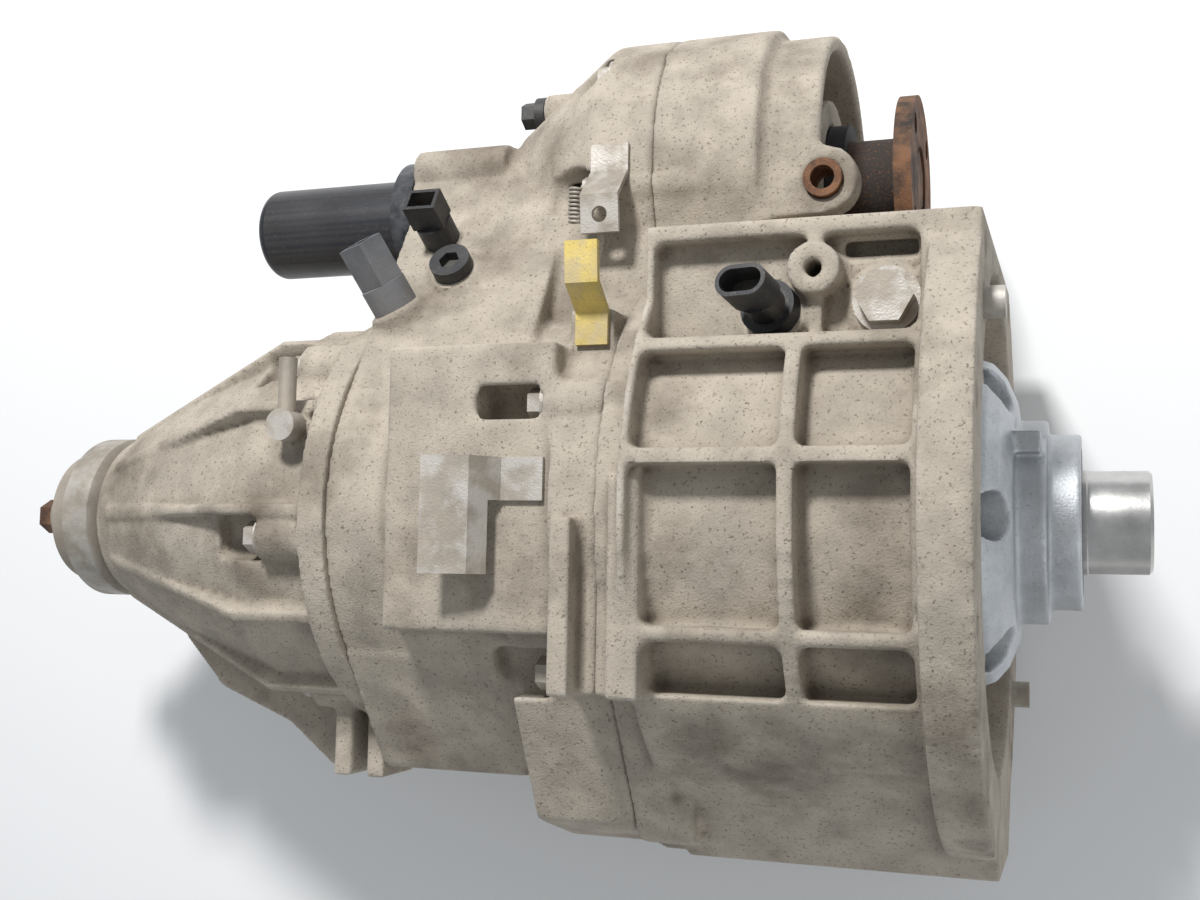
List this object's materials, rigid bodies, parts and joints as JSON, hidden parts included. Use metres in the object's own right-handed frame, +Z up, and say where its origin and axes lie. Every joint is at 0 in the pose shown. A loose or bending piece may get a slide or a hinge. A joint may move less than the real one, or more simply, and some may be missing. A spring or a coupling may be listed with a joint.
{
  "type": "transfer case",
  "caption": "Two-speed four-wheel-drive transfer case in ribbed castings with planetary range gear, chain drive, front output flange and electric shift actuator.",
  "frame": {"origin": "where the main shaft axis crosses the adapter mating face", "axes": "+X along the main shaft towards the input, +Y towards the front output shaft, +Z up, away from the feet"},
  "size_m": [0.638, 0.4382, 0.309],
  "materials": {
    "cast_aluminium": "cast, dusty",
    "bright_aluminium": "cast, clean",
    "seal_rubber": "matt",
    "black_plastic": "moulded",
    "grey_plastic": "moulded",
    "black_paint": "semi-gloss",
    "rusted_steel": "rusted",
    "dull_steel": "dull, dusty",
    "machined_steel": "ground"
  },
  "bodies": {
    "case": {"actuator_motor": "black_paint", "breather": "dull_steel", "centre_bearing_outer": "machined_steel", "detent_plug": "black_plastic", "dowel_pins": "dull_steel", "drain_plug": "dull_steel", "drive_chain": "machined_steel", "extension_housing": "cast_aluminium", "fill_plug": "dull_steel", "front_bearing_outer": "machined_steel", "front_case": "cast_aluminium", "front_output_seal": "seal_rubber", "front_rear_bush": "machined_steel", "harness_bracket": "dull_steel", "input_bearing_outer": "machined_steel", "input_retainer": "bright_aluminium", "input_seal": "seal_rubber", "joint_screws": "dull_steel", "lug_bush": "rusted_steel", "range_sensor": "grey_plastic", "rear_case": "cast_aluminium", "retainer_screws": "dull_steel", "ring_gear": "machined_steel", "speed_sensor": "black_plastic", "switch_connector": "black_plastic", "tag_bracket": "dull_steel", "tail_screws": "dull_steel", "tail_seal": "seal_rubber", "top_plug": "black_plastic", "upper_bracket": "dull_steel"},
    "input": {"input_shaft": "machined_steel", "input_bearing_inner": "machined_steel"},
    "carrier": {"planet_carrier": "machined_steel"},
    "planet_1": {"planet_gear_1": "machined_steel"},
    "planet_2": {"planet_gear_2": "machined_steel"},
    "planet_3": {"planet_gear_3": "machined_steel"},
    "main_line": {"main_shaft": "machined_steel", "centre_bearing_inner": "machined_steel", "drive_sprocket": "machined_steel", "rear_flange": "dull_steel", "rear_nut": "rusted_steel"},
    "front_output": {"front_output_shaft": "machined_steel", "driven_sprocket": "machined_steel", "front_bearing_inner": "machined_steel", "front_flange": "rusted_steel", "front_nut": "rusted_steel"},
    "sleeve": {"range_sleeve": "machined_steel"},
    "selector": {"shift_rail": "machined_steel", "range_fork": "bright_aluminium", "follower_arm": "bright_aluminium"},
    "drum": {"shift_drum": "machined_steel"}
  },
  "joints": [
    {"name": "main_shaft_spin", "type": "hinge", "parent": "case", "child": "main_line", "pos_m": [0, 0, 0], "axis": [1, 0, 0], "continuous": true},
    {"name": "input_spin", "type": "hinge", "parent": "case", "child": "input", "pos_m": [0, 0, 0], "axis": [1, 0, 0], "continuous": true},
    {"name": "carrier_spin", "type": "hinge", "parent": "case", "child": "carrier", "pos_m": [0, 0, 0], "axis": [1, 0, 0], "continuous": true},
    {"name": "front_output_spin", "type": "hinge", "parent": "case", "child": "front_output", "pos_m": [0, 0.183, -0.04], "axis": [1, 0, 0], "continuous": true, "deforming": ["drive_chain"]},
    {"name": "drum_turn", "type": "hinge", "parent": "case", "child": "drum", "pos_m": [0, 0.173, -0.02], "axis": [1, 0, 0], "range_deg": [0, 210]},
    {"name": "selector_slide", "type": "slide", "parent": "case", "child": "selector", "axis": [1, 0, 0], "range_m": [-0.021, 0]},
    {"name": "sleeve_slide", "type": "slide", "parent": "main_line", "child": "sleeve", "axis": [1, 0, 0], "range_m": [-0.021, 0]},
    {"name": "planet_1_spin", "type": "hinge", "parent": "carrier", "child": "planet_1", "pos_m": [0, 0.042, 0], "axis": [1, 0, 0], "continuous": true},
    {"name": "planet_2_spin", "type": "hinge", "parent": "carrier", "child": "planet_2", "pos_m": [0, -0.021, 0.03637], "axis": [1, 0, 0], "continuous": true},
    {"name": "planet_3_spin", "type": "hinge", "parent": "carrier", "child": "planet_3", "pos_m": [0, -0.021, -0.03637], "axis": [1, 0, 0], "continuous": true}
  ],
  "couplings": [
    {"joint": "input_spin", "follows": "main_shaft_spin", "ratio": 1},
    {"joint": "carrier_spin", "follows": "main_shaft_spin", "ratio": 0.35714},
    {"joint": "front_output_spin", "follows": "main_shaft_spin", "ratio": 1},
    {"joint": "planet_1_spin", "follows": "main_shaft_spin", "ratio": -1.6071},
    {"joint": "planet_2_spin", "follows": "main_shaft_spin", "ratio": -1.6071},
    {"joint": "planet_3_spin", "follows": "main_shaft_spin", "ratio": -1.6071},
    {"joint": "selector_slide", "follows": "drum_turn", "m_per_rad": -0.0057296},
    {"joint": "sleeve_slide", "follows": "drum_turn", "m_per_rad": -0.0057296}
  ]
}
